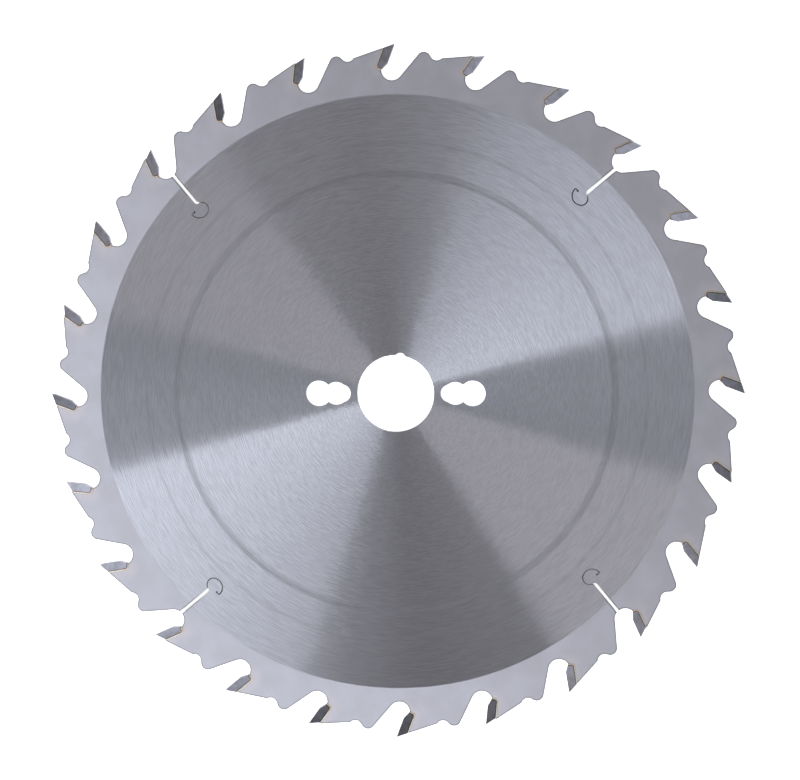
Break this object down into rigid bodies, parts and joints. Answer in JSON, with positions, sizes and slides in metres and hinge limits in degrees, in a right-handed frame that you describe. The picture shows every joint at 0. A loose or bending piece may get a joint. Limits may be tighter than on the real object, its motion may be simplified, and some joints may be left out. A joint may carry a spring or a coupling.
{
  "type": "circular saw blade",
  "caption": "Flat steel circular saw blade with brazed carbide tips, chip-limiting tooth backs, curled expansion slots, an arbor bore and keyed drive-pin holes.",
  "frame": {"origin": "centre of the arbor bore, half way through the plate", "axes": "+Z along the bore axis out of the front face, +X through the drive-pin holes, +Y up in the picture; seen from +Z the blade cuts clockwise"},
  "size_m": [0.27, 0.27, 0.0032],
  "materials": {
    "plate": "circular brushed disc with a matte blasted rim",
    "carbide": "finely ground dark carbide",
    "braze": "satin solder seam"
  },
  "bodies": {
    "root": {"blade_body": "plate", "carbide_tip_01": "carbide", "carbide_tip_02": "carbide", "carbide_tip_03": "carbide", "carbide_tip_04": "carbide", "carbide_tip_05": "carbide", "carbide_tip_06": "carbide", "carbide_tip_07": "carbide", "carbide_tip_08": "carbide", "carbide_tip_09": "carbide", "carbide_tip_10": "carbide", "carbide_tip_11": "carbide", "carbide_tip_12": "carbide", "carbide_tip_13": "carbide", "carbide_tip_14": "carbide", "carbide_tip_15": "carbide", "carbide_tip_16": "carbide", "carbide_tip_17": "carbide", "carbide_tip_18": "carbide", "carbide_tip_19": "carbide", "carbide_tip_20": "carbide", "carbide_tip_21": "carbide", "carbide_tip_22": "carbide", "carbide_tip_23": "carbide", "carbide_tip_24": "carbide", "braze_01": "braze", "braze_02": "braze", "braze_03": "braze", "braze_04": "braze", "braze_05": "braze", "braze_06": "braze", "braze_07": "braze", "braze_08": "braze", "braze_09": "braze", "braze_10": "braze", "braze_11": "braze", "braze_12": "braze", "braze_13": "braze", "braze_14": "braze", "braze_15": "braze", "braze_16": "braze", "braze_17": "braze", "braze_18": "braze", "braze_19": "braze", "braze_20": "braze", "braze_21": "braze", "braze_22": "braze", "braze_23": "braze", "braze_24": "braze"}
  },
  "joints": []
}
